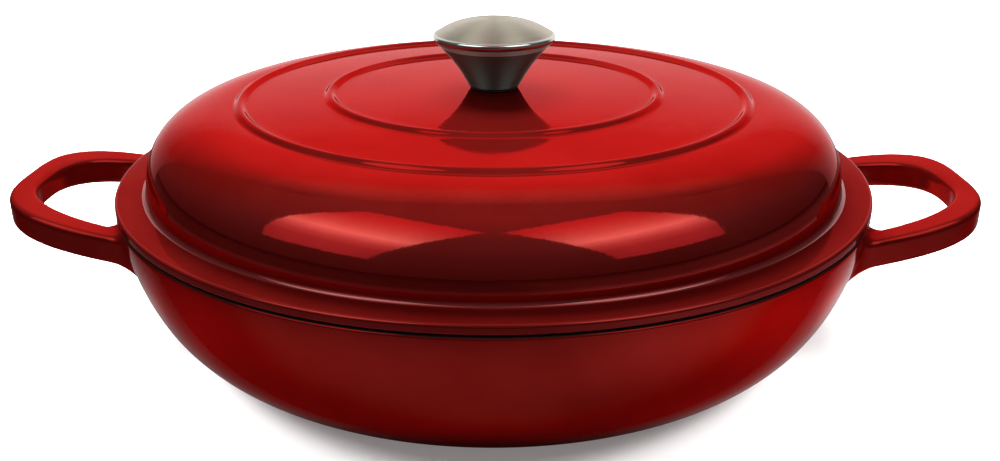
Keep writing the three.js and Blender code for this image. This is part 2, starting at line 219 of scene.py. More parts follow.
# Surfaces
def skin(name, rings, first=None, last=None, closed=False, zones=None, materials=(), sharp=32):
    """Quads between neighbouring rings of points, with a fan to a pole at either open end.

    rings[i, j] is point j of ring i, and every ring is closed. closed joins the last ring to the first.
    zones holds the material number of each band between rings. The faces are turned outwards by the
    sign of the enclosed volume: the sum over triangles of a . (b x c).
    """
    count, around = rings.shape[:2]
    points = rings.reshape(-1, 3)
    near = np.arange(count if closed else count - 1)
    far = (near + 1) % count
    turn = np.arange(around)
    following = (turn + 1) % around
    quads = np.stack([
        near[:, None] * around + turn,
        near[:, None] * around + following,
        far[:, None] * around + following,
        far[:, None] * around + turn,
    ], axis=2).reshape(-1, 4)
    step = np.linalg.norm(np.diff(rings[:, 0], axis=0), axis=1)
    length = np.concatenate([[0], np.cumsum(step)])
    far_length = np.where(far == 0, length[-1] + np.linalg.norm(rings[0, 0] - rings[-1, 0]), length[far])
    u_near = np.broadcast_to(turn / around, (len(near), around))
    u_next = np.broadcast_to((turn + 1) / around, (len(near), around))
    v_near = np.broadcast_to(length[near][:, None], (len(near), around))
    v_far = np.broadcast_to(far_length[:, None], (len(near), around))
    quad_uv = np.stack([
        np.stack([u_near, v_near], axis=2),
        np.stack([u_next, v_near], axis=2),
        np.stack([u_next, v_far], axis=2),
        np.stack([u_near, v_far], axis=2),
    ], axis=2).reshape(-1, 2)
    fans = []
    fan_uv = []
    ends = []
    middle = np.stack([(turn + 0.5) / around, np.zeros(around)], axis=1)
    for pole, row, end in ((first, 0, 0), (last, count - 1, len(near) - 1)):
        if pole is None:
            continue
        number = len(points)
        points = np.concatenate([points, np.array(pole, float).reshape(1, 3)])
        a = row * around + turn
        b = row * around + following
        tip = np.full(around, number)
        fans.append(np.stack([tip, b, a] if row == 0 else [tip, a, b], axis=1))
        v_row = np.full(around, length[row])
        v_tip = v_row + (-1 if row == 0 else 1) * np.linalg.norm(rings[row, 0] - points[number])
        centre_uv = middle + np.stack([np.zeros(around), v_tip], axis=1)
        a_uv = np.stack([turn / around, v_row], axis=1)
        b_uv = np.stack([(turn + 1) / around, v_row], axis=1)
        fan_uv.append(np.stack([centre_uv, b_uv, a_uv] if row == 0 else [centre_uv, a_uv, b_uv], axis=1))
        ends.append(np.full(around, end))
    triangles = np.concatenate([quads[:, [0, 1, 2]], quads[:, [0, 2, 3]], *fans])
    corner = points[triangles]
    volume = np.einsum("ij,ij->", corner[:, 0], np.cross(corner[:, 1], corner[:, 2]))
    order = 1 if volume > 0 else -1
    faces = [*quads[:, ::order].tolist(), *[row for fan in fans for row in fan[:, ::order].tolist()]]
    uv = [quad_uv.reshape(-1, 4, 2)[:, ::order].reshape(-1, 2)]
    uv += [fan[:, ::order].reshape(-1, 2) for fan in fan_uv]
    mesh = bpy.data.meshes.new(name)
    mesh.from_pydata(points.tolist(), [], faces)
    layer = mesh.uv_layers.new(name="UVMap")
    layer.data.foreach_set("uv", np.concatenate(uv).astype(np.float32).ravel())
    for material in materials:
        mesh.materials.append(material)
    if zones is not None:
        bands = np.concatenate([np.repeat(near, around), *ends]).astype(int)
        mesh.polygons.foreach_set("material_index", np.array(zones)[bands].astype(np.int32))
    mesh.polygons.foreach_set("use_smooth", np.ones(len(faces), bool))
    mesh.set_sharp_from_angle(angle=math.radians(sharp))
    mesh.update()
    piece = bpy.data.objects.new(name, mesh)
    bpy.context.scene.collection.objects.link(piece)
    return piece


def circles(radius, height, angle):
    """Rings of points at (radius cos a, radius sin a, height) for the given angles a."""
    radius = radius * np.ones_like(angle)
    height = height * np.ones_like(angle)
    return np.stack([radius * np.cos(angle), radius * np.sin(angle), height], axis=-1)


def turned(name, profile, segments, **looks):
    """Profile turned about Z: every point at (radius cos a, radius sin a, height) for even angles a."""
    angle = np.linspace(0, 2 * np.pi, segments, endpoint=False)
    on_axis = profile[:, 0] < ON_AXIS
    whole = not on_axis[0] and not on_axis[-1]
    first = (0, 0, profile[0, 1]) if on_axis[0] else None
    last = (0, 0, profile[-1, 1]) if on_axis[-1] else None
    body = profile[~on_axis]
    return skin(name, circles(body[:, :1], body[:, 1:], angle), first, last, closed=whole, **looks)


def band_zones(profile, *limits):
    """Material number of each band of a turned profile: how many of the given point numbers lie before it.

    The number of bands is one less than the points off the axis, or the same where the profile is a loop.
    """
    off_axis = np.nonzero(profile[:, 0] > ON_AXIS)[0]
    return np.searchsorted(np.array(limits), off_axis, side="right")


def nearest(profile, target):
    """Number of the profile's point that lies nearest to a radius and height."""
    return int(np.argmin(np.hypot(*(profile - np.array(target)).T)))


# Materials
THIN_COAT = 0.02
GRAZING_COAT = 0.4
GRAZING_RANGE = (0.69, 0.86)


def material(name):
    """New material with its shader node."""
    made = bpy.data.materials.new(name)
    made.use_nodes = True
    nodes = made.node_tree.nodes
    return made, nodes, made.node_tree.links, nodes["Principled BSDF"]


def noise(nodes, links, vector, scale, detail=2.0, roughness=0.5):
    """Noise texture on the given coordinates."""
    node = nodes.new("ShaderNodeTexNoise")
    node.inputs["Scale"].default_value = scale
    node.inputs["Detail"].default_value = detail
    node.inputs["Roughness"].default_value = roughness
    links.new(vector, node.inputs["Vector"])
    return node


def ramp(nodes, links, source, stops):
    """Colour ramp from (place, colour) pairs."""
    node = nodes.new("ShaderNodeValToRGB")
    elements = node.color_ramp.elements
    while len(elements) < len(stops):
        elements.new(0.5)
    for element, (place, colour) in zip(elements, stops):
        element.position = place
        element.color = (*colour, 1)
    links.new(source, node.inputs["Fac"])
    return node


def greys(stops):
    """Ramp stops in grey from (place, value) pairs."""
    return [(place, (value, value, value)) for place, value in stops]


def spread(nodes, links, source, low, high, start=0.0, end=1.0):
    """Map of a 0 to 1 texture onto a range of values."""
    node = nodes.new("ShaderNodeMapRange")
    node.inputs["From Min"].default_value = start
    node.inputs["From Max"].default_value = end
    node.inputs["To Min"].default_value = low
    node.inputs["To Max"].default_value = high
    links.new(source, node.inputs["Value"])
    return node.outputs["Result"]


def bump(nodes, links, shader, height, strength, distance):
    """Bump on the shader's normal."""
    node = nodes.new("ShaderNodeBump")
    node.inputs["Strength"].default_value = strength
    node.inputs["Distance"].default_value = distance
    links.new(height, node.inputs["Height"])
    links.new(node.outputs["Normal"], shader.inputs["Normal"])
    return node


def coordinates(nodes, output="Object"):
    """Texture coordinates of the piece itself."""
    return nodes.new("ShaderNodeTexCoord").outputs[output]


def red_enamel(name, depth, shade=1.0, coat=THIN_COAT, fade=None):
    """Glossy red enamel with faint mottling and orange peel, whose glassy sheen rises at grazing angles.

    depth is how much of the colour comes from the mirror-like layer rather than from the body below it.
    shade darkens the colour. coat is the least weight of the clear layer, which grows at grazing angles.
    fade gives the heights between which that least weight falls to a thin coat.
    """
    made, nodes, links, shader = material(name)
    place = coordinates(nodes)
    cloud = noise(nodes, links, place, 34.0, 4.0, 0.55)
    tone = ramp(nodes, links, cloud.outputs["Fac"], (
        (0.30, (0.50 * shade, 0.0200 * shade, 0.0160 * shade)),
        (0.55, (0.55 * shade, 0.0260 * shade, 0.0210 * shade)),
        (0.75, (0.58 * shade, 0.0310 * shade, 0.0250 * shade)),
    ))
    links.new(tone.outputs["Color"], shader.inputs["Base Color"])
    gloss = noise(nodes, links, place, 90.0, 3.0)
    links.new(spread(nodes, links, gloss.outputs["Fac"], 0.045, 0.085), shader.inputs["Roughness"])
    peel = noise(nodes, links, place, 420.0, 2.0, 0.4)
    bump(nodes, links, shader, peel.outputs["Fac"], 0.05, 0.0004)
    shader.inputs["Metallic"].default_value = depth
    shader.inputs["Specular IOR Level"].default_value = 0.0
    shader.inputs["Specular Tint"].default_value = (1.0, 0.20, 0.20, 1)
    shader.inputs["Coat Roughness"].default_value = 0.03
    grazing = nodes.new("ShaderNodeLayerWeight").outputs["Facing"]
    weight = spread(nodes, links, grazing, coat, max(coat, GRAZING_COAT), *GRAZING_RANGE)
    if fade is not None:
        height = nodes.new("ShaderNodeSeparateXYZ")
        links.new(place, height.inputs["Vector"])
        least = spread(nodes, links, height.outputs["Z"], coat, THIN_COAT, *fade)
        links.new(least, weight.node.inputs["To Min"])
    links.new(weight, shader.inputs["Coat Weight"])
    return made


def cream_enamel():
    """Pale inside enamel with faint cloudiness and orange peel."""
    made, nodes, links, shader = material("cream_enamel")
    place = coordinates(nodes)
    cloud = noise(nodes, links, place, 26.0, 5.0, 0.6)
    tone = ramp(nodes, links, cloud.outputs["Fac"], (
        (0.30, (0.66, 0.60, 0.48)),
        (0.55, (0.72, 0.66, 0.54)),
        (0.80, (0.75, 0.70, 0.59)),
    ))
    links.new(tone.outputs["Color"], shader.inputs["Base Color"])
    gloss = noise(nodes, links, place, 120.0, 2.0)
    links.new(spread(nodes, links, gloss.outputs["Fac"], 0.12, 0.24), shader.inputs["Roughness"])
    peel = noise(nodes, links, place, 380.0, 2.0, 0.4)
    bump(nodes, links, shader, peel.outputs["Fac"], 0.06, 0.0004)
    return made


def bare_rim():
    """Dark matt enamel on the ground edge where lid and pot meet."""
    made, nodes, links, shader = material("bare_rim")
    place = coordinates(nodes)
    grain = noise(nodes, links, place, 700.0, 4.0, 0.6)
    tone = ramp(nodes, links, grain.outputs["Fac"], (
        (0.25, (0.008, 0.004, 0.004)),
        (0.60, (0.016, 0.009, 0.009)),
        (0.85, (0.032, 0.022, 0.020)),
    ))
    links.new(tone.outputs["Color"], shader.inputs["Base Color"])
    links.new(spread(nodes, links, grain.outputs["Fac"], 0.6, 0.85), shader.inputs["Roughness"])
    shader.inputs["Specular IOR Level"].default_value = 0.15
    bump(nodes, links, shader, grain.outputs["Fac"], 0.25, 0.0003)
    return made


def steel(name, tones, roughness, lines, depth, brushing=0.0):
    """Steel with fine turning lines round the axis, drawn as noise stretched along the angle.

    tones are its dark and light colour. brushing stretches its highlights across the turning lines.
    """
    made, nodes, links, shader = material(name)
    place = coordinates(nodes, "UV")
    stretch = nodes.new("ShaderNodeMapping")
    stretch.inputs["Scale"].default_value = (3.0, lines, 1.0)
    links.new(place, stretch.inputs["Vector"])
    scratch = noise(nodes, links, stretch.outputs["Vector"], 1.0, 4.0, 0.6)
    tone = ramp(nodes, links, scratch.outputs["Fac"], tuple(zip((0.3, 0.7), tones)))
    links.new(tone.outputs["Color"], shader.inputs["Base Color"])
    wear = noise(nodes, links, coordinates(nodes), 160.0, 3.0)
    links.new(spread(nodes, links, wear.outputs["Fac"], *roughness), shader.inputs["Roughness"])
    bump(nodes, links, shader, scratch.outputs["Fac"], depth, 0.0001)
    shader.inputs["Metallic"].default_value = 1.0
    shader.inputs["Anisotropic"].default_value = brushing
    shader.inputs["Anisotropic Rotation"].default_value = 0.25
    return made


def rubber():
    """Dark grey rubber with a dusty bloom."""
    made, nodes, links, shader = material("gasket_rubber")
    place = coordinates(nodes)
    bloom = noise(nodes, links, place, 260.0, 4.0, 0.6)
    tone = ramp(nodes, links, bloom.outputs["Fac"], (
        (0.3, (0.020, 0.020, 0.021)),
        (0.8, (0.052, 0.051, 0.050)),
    ))
    links.new(tone.outputs["Color"], shader.inputs["Base Color"])
    links.new(spread(nodes, links, bloom.outputs["Fac"], 0.6, 0.85), shader.inputs["Roughness"])
    bump(nodes, links, shader, bloom.outputs["Fac"], 0.2, 0.0002)
    return made


enamel = red_enamel("red_enamel", depth=0.62)
dome_enamel = red_enamel("dome_enamel", depth=0.62, coat=0.26, fade=COAT_FADE)
handle_enamel = red_enamel("handle_enamel", depth=0.36, shade=0.88)
flange_enamel = red_enamel("flange_enamel", depth=0.22, shade=0.58)
edge_enamel = red_enamel("edge_enamel", depth=0.36, shade=0.8, coat=0.18)
valley_enamel = red_enamel("valley_enamel", depth=0.34, shade=0.8, coat=1.0)
cream = cream_enamel()
rim_finish = bare_rim()
gasket_finish = rubber()
polished = steel("polished_steel", ((0.62, 0.59, 0.54), (0.74, 0.71, 0.66)), (0.06, 0.12), 9000.0, 0.02)
# Dark tone of the knob's stem: painted shade for the dark room it mirrors; its green tint offsets the red lid
painted_shade_stem = steel("painted_shade_stem", ((0.22, 0.27, 0.23), (0.30, 0.36, 0.31)), (0.55, 0.65), 9000.0, 0.03, 0.9)
# Pale tone of the knob's flared mouth: a painted highlight, green-tinted to offset the red lid it mirrors
painted_highlight_mouth = steel("painted_highlight_mouth", ((0.70, 0.86, 0.76), (0.84, 1.0, 0.90)), (0.75, 0.85), 9000.0, 0.03, 0.9)
brushed = steel(
    "brushed_steel", ((0.53, 0.465, 0.375), (0.72, 0.64, 0.52)), (0.42, 0.52), 14000.0, 0.12, 0.75,
)
zinc = steel("fastener_steel", ((0.36, 0.37, 0.38), (0.52, 0.53, 0.54)), (0.22, 0.42), 7000.0, 0.08)


# Pot
wall = bezier(
    (BASE_RADIUS, 0),
    (BASE_RADIUS + BASE_SWEEP, 0),
    (RIM_RADIUS - WALL_LEAN, RIM_HEIGHT - WALL_RISE),
    (RIM_RADIUS, RIM_HEIGHT - RIM_EDGE),
    CURVE_POINTS,
)


def bowl():
    """Round bowl: base, curved wall, rounded rim, and the same wall again inside."""
    edge_height = RIM_HEIGHT - RIM_EDGE
    land_inner = RIM_RADIUS - RIM_LAND
    inside = offset(wall, FLOOR_THICKNESS, WALL_THICKNESS)
    inside = inside[inside[:, 1] < RIM_HEIGHT - WALL_THICKNESS][::-1]
    profile = dense(joined(
        (0, 0),
        wall,
        arc((RIM_RADIUS - RIM_EDGE, edge_height), RIM_EDGE, 0, 90, 8),
        arc((land_inner + RIM_EDGE, edge_height), RIM_EDGE, 90, 180, 8),
        inside,
        (0, FLOOR_THICKNESS),
    ), CASTING_STEP)
    zones = band_zones(
        profile,
        nearest(profile, (RIM_RADIUS, RIM_HEIGHT - BARE_OUTSIDE)),
        nearest(profile, (land_inner, edge_height - BARE_INSIDE)),
    )
    return turned("pot_bowl", profile, CASTING_SEGMENTS, zones=zones, materials=(enamel, rim_finish, cream))


def loop_outline(angle, half, length, power):
    """Half a squared oval in polar form, with reach 1 / (|cos|^p + |sin|^p)^(1/p).

    It is stretched to its two half sizes.
    """
    reach = (np.abs(np.cos(angle)) ** power + np.abs(np.sin(angle)) ** power) ** (-1 / power)
    return np.stack([LOOP_CENTRE + length * reach * np.cos(angle), half * reach * np.sin(angle)], axis=-1)


def bar_point(angle, side_share, edge_aside, flat_up, normal, lift):
    """Point of the handle's bar at an angle round the loop.

    The section is a rounded rectangle between the loop's outer and inner outline. side_share (-1 to 1) places
    the middle of the edge rounding across the flat width, edge_aside and flat_up add the rounding and the
    height, and lift moves the point along the section's own normal.
    """
    outer = loop_outline(angle, LOOP_HALF, HANDLE_TIP - LOOP_CENTRE, LOOP_POWER)
    inner = loop_outline(angle, LOOP_HALF - SIDE_BAR, HANDLE_TIP - TIP_BAR - LOOP_CENTRE, HOLE_POWER)
    across = outer - inner
    width = np.linalg.norm(across, axis=-1)
    across = across / width[..., None]
    aside = side_share * (width / 2 - BAR_EDGE) + edge_aside + lift * normal[..., 0]
    flat = (outer + inner) / 2 + across * aside[..., None]
    height = BAR_MIDDLE + BAR_SLOPE * (flat[..., 0] - RIM_RADIUS) + flat_up + lift * normal[..., 1]
    return np.concatenate([flat, height[..., None]], axis=-1)


def handle(name, sign):
    """Loop handle carried along its outline, ending in a flared fillet that runs into the wall at both roots.

    At a fillet angle f from 0 to 90 degrees a point stands r (1 - sin f) off the wall and r (1 - cos f)
    outside the bar, with r largest inside the loop and larger below the bar than above it. The place along
    the loop that has this distance to the wall is found by halving an interval.
    """
    corner = 7
    run = 5
    turn = np.radians(np.linspace(0, 90, corner))
    steps = np.linspace(1, -1, run + 2)[1:-1]
    rise = BAR_HALF_HEIGHT - BAR_EDGE
    at_corner = np.ones(corner)
    at_run = np.ones(run)
    share = np.concatenate([
        at_corner, steps, -at_corner, -at_run,
        -at_corner, -steps, at_corner, at_run,
    ])
    level = np.concatenate([
        at_corner, at_run, at_corner, steps,
        -at_corner, -at_run, -at_corner, -steps,
    ])
    heading = np.concatenate([
        turn, at_run * np.pi / 2, turn + np.pi / 2, at_run * np.pi,
        turn + np.pi, at_run * 1.5 * np.pi, turn + 1.5 * np.pi, at_run * 2 * np.pi,
    ])
    normal = np.stack([np.cos(heading), np.sin(heading)], axis=1)
    edge_aside = BAR_EDGE * normal[:, 0]
    flat_up = level * rise + BAR_EDGE * normal[:, 1]
    upright = np.where(normal[:, 1] > 0, UPPER_FILLET, LOWER_FILLET) - OUTER_FILLET
    inward = (INNER_FILLET - OUTER_FILLET) * np.clip(-normal[:, 0], 0, 1) ** 2
    radius = OUTER_FILLET + inward + upright * normal[:, 1] ** 2

    def surface(angle, lift):
        """Points of the whole section at the given angles, lifted off the bar."""
        shape = angle.shape
        return bar_point(
            angle, np.broadcast_to(share, shape), np.broadcast_to(edge_aside, shape),
            np.broadcast_to(flat_up, shape), np.broadcast_to(normal, (*shape, 2)), lift,
        )

    def place(distance, lift):
        """Angles at which the lifted bar has this distance to the wall."""
        low = np.full(distance.shape, ROOT_ANGLES[0])
        high = np.full(distance.shape, ROOT_ANGLES[1])
        for _ in range(HALVINGS):
            middle = (low + high) / 2
            point = surface(middle, lift)
            off = np.hypot(point[..., 0], point[..., 1]) - np.interp(point[..., 2], wall[:, 1], wall[:, 0])
            outside = off > distance
            low = np.where(outside, middle, low)
            high = np.where(outside, high, middle)
        return (low + high) / 2

    flare = np.radians(np.linspace(90, 0, FLARE_STEPS))[:, None]
    distance = radius * (1 - np.sin(flare))
    lift = radius * (1 - np.cos(flare))
    buried = -np.array(ROOT_DEPTHS)[:, None] * np.ones_like(radius)
    distance = np.concatenate([buried, distance])
    lift = np.concatenate([np.repeat(lift[:1] + ROOT_LIFT, len(buried), axis=0), lift])
    angle = place(distance, lift)
    root = surface(angle, lift)
    along = np.linspace(1, -1, BAR_STEPS)[1:-1, None]
    bar = surface(along * angle[-1], np.zeros((len(along), len(share))))
    mirrored = root[::-1] * np.array([1, -1, 1])
    rings = np.concatenate([root, bar, mirrored])
    rings = rings * np.array([sign, sign, 1])
    return skin(
        name, rings, rings[0].mean(axis=0), rings[-1].mean(axis=0), materials=(handle_enamel,), sharp=50,
    )


# Lid
def crown(radius):
    """Height of the shallow crown: its middle height less a share of the radius squared."""
    return CROWN_HEIGHT - CROWN_RISE * (radius / SHOULDER) ** 2


def bead(radius, count):
    """Raised ring on the crown, as a squared cosine across its width, from outside to inside."""
    across = np.linspace(0.5, -0.5, count)
    at = radius + BEAD_WIDTH * across
    return np.stack([at, crown(at) + BEAD_HEIGHT * np.cos(np.pi * across) ** 2], axis=1)


def lid():
    """Lid: lip, flange, valley, dome, beads and crown outside, then the walls' inside back to the lip."""
    flange_top = LID_BASE + FLANGE_THICKNESS
    lip_outer = RIM_RADIUS - RIM_LAND - LIP_CLEARANCE
    lip_inner = lip_outer - LIP_THICKNESS
    foot = RIM_RADIUS - FLANGE_WIDTH
    round_radius = LIP_THICKNESS / 4
    slope = 2 * CROWN_RISE / SHOULDER
    shoulder_height = CROWN_HEIGHT - CROWN_RISE
    dome = bezier(
        (foot, flange_top + VALLEY_RADIUS),
        (foot, flange_top + VALLEY_RADIUS + DOME_FALL),
        (SHOULDER + DOME_RUN, shoulder_height - slope * DOME_RUN),
        (SHOULDER, shoulder_height),
        CURVE_POINTS,
    )
    inside = offset(dome, LID_WALL, LID_WALL)[::-1]
    between = np.linspace(OUTER_BEAD - BEAD_WIDTH / 2, INNER_BEAD + BEAD_WIDTH / 2, 12)
    middle = np.linspace(INNER_BEAD - BEAD_WIDTH / 2, SCREW_HOLE, 20)
    under = np.linspace(SCREW_HOLE, SHOULDER - UNDER_INSET, 32)
    profile = dense(joined(
        (lip_inner + round_radius, LID_BASE - LIP_DEPTH),
        arc((lip_outer - round_radius, LID_BASE - LIP_DEPTH + round_radius), round_radius, -90, 0, 8),
        (lip_outer, LID_BASE),
        arc((RIM_RADIUS - FLANGE_EDGE, LID_BASE + FLANGE_EDGE), FLANGE_EDGE, -90, 0, 10),
        arc((RIM_RADIUS - FLANGE_EDGE, flange_top - FLANGE_EDGE), FLANGE_EDGE, 0, 90, 10),
        arc((foot + VALLEY_RADIUS, flange_top + VALLEY_RADIUS), VALLEY_RADIUS, 270, 180, 14),
        dome,
        bead(OUTER_BEAD, BEAD_POINTS),
        np.stack([between, crown(between)], axis=1),
        bead(INNER_BEAD, BEAD_POINTS),
        np.stack([middle, crown(middle)], axis=1),
        np.stack([under, crown(under) - LID_WALL], axis=1),
        inside,
        arc((lip_inner + round_radius, LID_BASE - LIP_DEPTH + round_radius), round_radius, 180, 270, 8),
    ), CASTING_STEP)
    seat_edge = (RIM_RADIUS - SEAT_INSET, LID_BASE + SEAT_RISE)
    zones = band_zones(
        profile,
        nearest(profile, seat_edge),
        nearest(profile, (RIM_RADIUS - FLANGE_EDGE, flange_top)),
        nearest(profile, (foot + VALLEY_RADIUS, flange_top)),
        nearest(profile, (foot, flange_top + VALLEY_RADIUS)),
        nearest(profile, (SHOULDER, shoulder_height)),
        nearest(profile, (SCREW_HOLE, CROWN_HEIGHT - LID_WALL)),
    )
    finishes = (rim_finish, edge_enamel, flange_enamel, valley_enamel, dome_enamel, enamel, cream)
    return turned("lid_casting", profile, CASTING_SEGMENTS, zones=zones, materials=finishes)


# Knob
def knob_shell():
    """Flared hollow stem with a flat land and a shallow bore at its mouth."""
    foot = shell_low.z
    top = shell_high.z
    stem = bezier(
        (KNOB_FOOT, foot),
        (KNOB_FOOT + KNOB_STEM_SPREAD, foot + KNOB_STEM_RISE),
        (KNOB_MOUTH - KNOB_FLARE, top - KNOB_FLARE),
        (KNOB_MOUTH, top),
        KNOB_POINTS,
    )
    inside = offset(stem, KNOB_WALL, KNOB_WALL)
    above_foot = inside[:, 1] > foot + 2 * KNOB_WALL
    below_bore = (inside[:, 1] < top - MOUTH_DEPTH) & (inside[:, 0] < MOUTH_BORE)
    bore = BUSH_RADIUS + FIT_CLEARANCE
    profile = dense(joined(
        (bore, foot),
        stem,
        (MOUTH_BORE, top),
        (MOUTH_BORE, top - MOUTH_DEPTH),
        inside[above_foot & below_bore][::-1],
        (KNOB_FOOT - KNOB_WALL, foot + KNOB_WALL),
        (bore, foot + KNOB_WALL),
    ), KNOB_STEP)
    # Outwards from this point the flare is pale steel, a painted highlight; below it the dark steel is
    # painted shade
    painted_highlight_start = stem[np.argmin(np.abs(stem[:, 0] - PAINTED_HIGHLIGHT_RADIUS))]
    zones = band_zones(profile, nearest(profile, painted_highlight_start))
    return turned("knob_stem", profile, SMALL_SEGMENTS, zones=zones, materials=(painted_shade_stem, painted_highlight_mouth))


def knob_cap():
    """Round cap: locating ring below, rounded edge, top that falls with a power of the radius."""
    bottom = cap_low.z + CAP_SPIGOT
    edge_top = bottom + CAP_EDGE
    radius = cap_high.x
    face = radius - CAP_ROLL
    ring_outer = MOUTH_BORE - FIT_CLEARANCE
    ring_inner = ring_outer - SPIGOT_WALL
    share = np.linspace(1, 0, KNOB_POINTS)
    rise = (cap_high.z - edge_top) * (1 - share ** CAP_FLATNESS)
    top = np.stack([face * share, edge_top + rise], axis=1)
    profile = dense(joined(
        (0, bottom),
        (ring_inner, bottom),
        (ring_inner, cap_low.z),
        (ring_outer, cap_low.z),
        (ring_outer, bottom),
        arc((face, bottom + CAP_ROLL), CAP_ROLL, -90, 0, 9),
        arc((face, edge_top - CAP_ROLL), CAP_ROLL, 0, 90, 9),
        top,
    ), KNOB_STEP)
    zones = band_zones(profile, nearest(profile, (face, edge_top)))
    return turned("knob_top", profile, SMALL_SEGMENTS, zones=zones, materials=(polished, brushed), sharp=40)


def ring_section(inner, outer, low, high, count):
    """Rectangle with an arc at each of its four corners."""
    edge = RING_EDGE
    return joined(
        arc((inner + edge, low + edge), edge, 180, 270, count),
        arc((outer - edge, low + edge), edge, 270, 360, count),
        arc((outer - edge, high - edge), edge, 0, 90, count),
        arc((inner + edge, high - edge), edge, 90, 180, count),
    )


def rounded_ring(name, inner, outer, low, high, finish):
    """Flat ring with rounded edges, turned from a rounded rectangle."""
    profile = dense(ring_section(inner, outer, low, high, 6)[:-1], FASTENER_STEP)
    return turned(name, profile, SMALL_SEGMENTS, materials=(finish,), sharp=60)


def knob_bush():
    """Bush with a collar, its corners broken by small arcs and bevels."""
    bore = THREAD_RADIUS + FIT_CLEARANCE
    low = bush_low.z
    collar_low = low + KNOB_WALL + FIT_CLEARANCE
    collar_high = collar_low + COLLAR_HEIGHT
    edge = BUSH_EDGE
    profile = dense(joined(
        (bore, low + edge),
        (bore + edge, low),
        (BUSH_RADIUS, low),
        (BUSH_RADIUS, collar_low),
        arc((bush_high.x - edge, collar_low + edge), edge, -90, 0, 5),
        arc((bush_high.x - edge, collar_high - edge), edge, 0, 90, 5),
        (BUSH_RADIUS, collar_high),
        arc((BUSH_RADIUS - edge, bush_high.z - edge), edge, 0, 90, 5),
        (bore + edge, bush_high.z),
        (bore, bush_high.z - edge),
    ), FASTENER_STEP)
    return turned("knob_insert", profile, SMALL_SEGMENTS, materials=(zinc,))


def spring_washer():
    """Split ring: a rounded rectangle carried round the axis, with a narrow slit on the -X side."""
    inner = THREAD_RADIUS + FIT_CLEARANCE
    outer = spring_high.x
    slit = SLIT_HALF / ((inner + outer) / 2)
    angle = np.linspace(-np.pi + slit, np.pi - slit, WASHER_STEPS)
    section = ring_section(inner, outer, spring_low.z, spring_high.z, 5)
    rings = circles(section[:, 0], section[:, 1], angle[:, None])
    return skin(
        "split_washer", rings, rings[0].mean(axis=0), rings[-1].mean(axis=0), materials=(zinc,), sharp=60,
    )


def knob_screw():
    """Screw: domed head with a slot, and a shank whose radius follows a helical thread.

    The shank's radius is the thread radius less a depth times a triangle wave of height / pitch less
    angle / turn. The slot is cut by moving the head's points up to the slot's floor where |y| is under half
    the slot's width.
    """
    bottom = screw_low.z
    head_top = bottom + HEAD_HEIGHT
    head_radius = screw_high.x
    flat_radius = head_radius - HEAD_ROUND
    slot_floor = bottom + SLOT_DEPTH
    angle = np.linspace(0, 2 * np.pi, SMALL_SEGMENTS, endpoint=False)
    flat = np.linspace(HEAD_MIDDLE, flat_radius, 18)
    head = joined(
        np.stack([flat, np.full(len(flat), bottom)], axis=1),
        arc((flat_radius, bottom + HEAD_ROUND), HEAD_ROUND, -90, 0, 10),
        (head_radius, head_top - HEAD_BREAK),
        (head_radius - HEAD_BREAK, head_top),
        (THREAD_RADIUS + HEAD_BREAK, head_top),
    )
    head_rings = circles(head[:, :1], head[:, 1:], angle)
    in_slot = np.abs(head_rings[..., 1]) < SLOT_HALF
    head_rings[..., 2] = np.where(in_slot, np.maximum(head_rings[..., 2], slot_floor), head_rings[..., 2])
    height = np.linspace(head_top, screw_high.z - POINT_LENGTH, THREAD_STEPS)[:, None]
    wave = np.abs(((height - head_top) / THREAD_PITCH - angle / (2 * np.pi)) % 1 - 0.5) * 2
    fade = np.clip((height - head_top) / THREAD_START, 0, 1)
    shank_rings = circles(THREAD_RADIUS - THREAD_DEPTH * wave * fade, height, angle)
    point = circles(POINT_RADIUS, screw_high.z, angle)[None]
    rings = np.concatenate([head_rings, shank_rings, point])
    return skin(
        "fixing_screw", rings, (0, 0, slot_floor), (0, 0, screw_high.z), materials=(zinc,), sharp=50,
    )


pieces = (
    (bowl(), "pot", "pot_enamel", "pot_body"),
    (handle("handle_right", 1), "pot", "pot_enamel", "pot_body"),
    (handle("handle_left", -1), "pot", "pot_enamel", "pot_body"),
    (lid(), "lid_set", "lid_enamel", "lid"),
    (knob_shell(), "lid_set", "polished_steel", "knob_shell"),
    (knob_cap(), "lid_set", "brushed_steel", "knob_cap"),
    (knob_bush(), "lid_set", "fastener_steel", "knob_bush"),
    (rounded_ring("foot_gasket", BUSH_RADIUS, gasket_high.x, gasket_low.z, gasket_high.z, gasket_finish),
     "lid_set", "gasket_rubber", "knob_gasket"),
    (rounded_ring("plain_washer", SCREW_HOLE, washer_high.x, washer_low.z, washer_high.z, zinc),
     "lid_set", "fastener_steel", "flat_washer"),
    (spring_washer(), "lid_set", "fastener_steel", "spring_washer"),
    (knob_screw(), "lid_set", "fastener_steel", "knob_screw"),
)
for piece, body, finish, node in pieces:
    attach(piece, body)
    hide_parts(node)


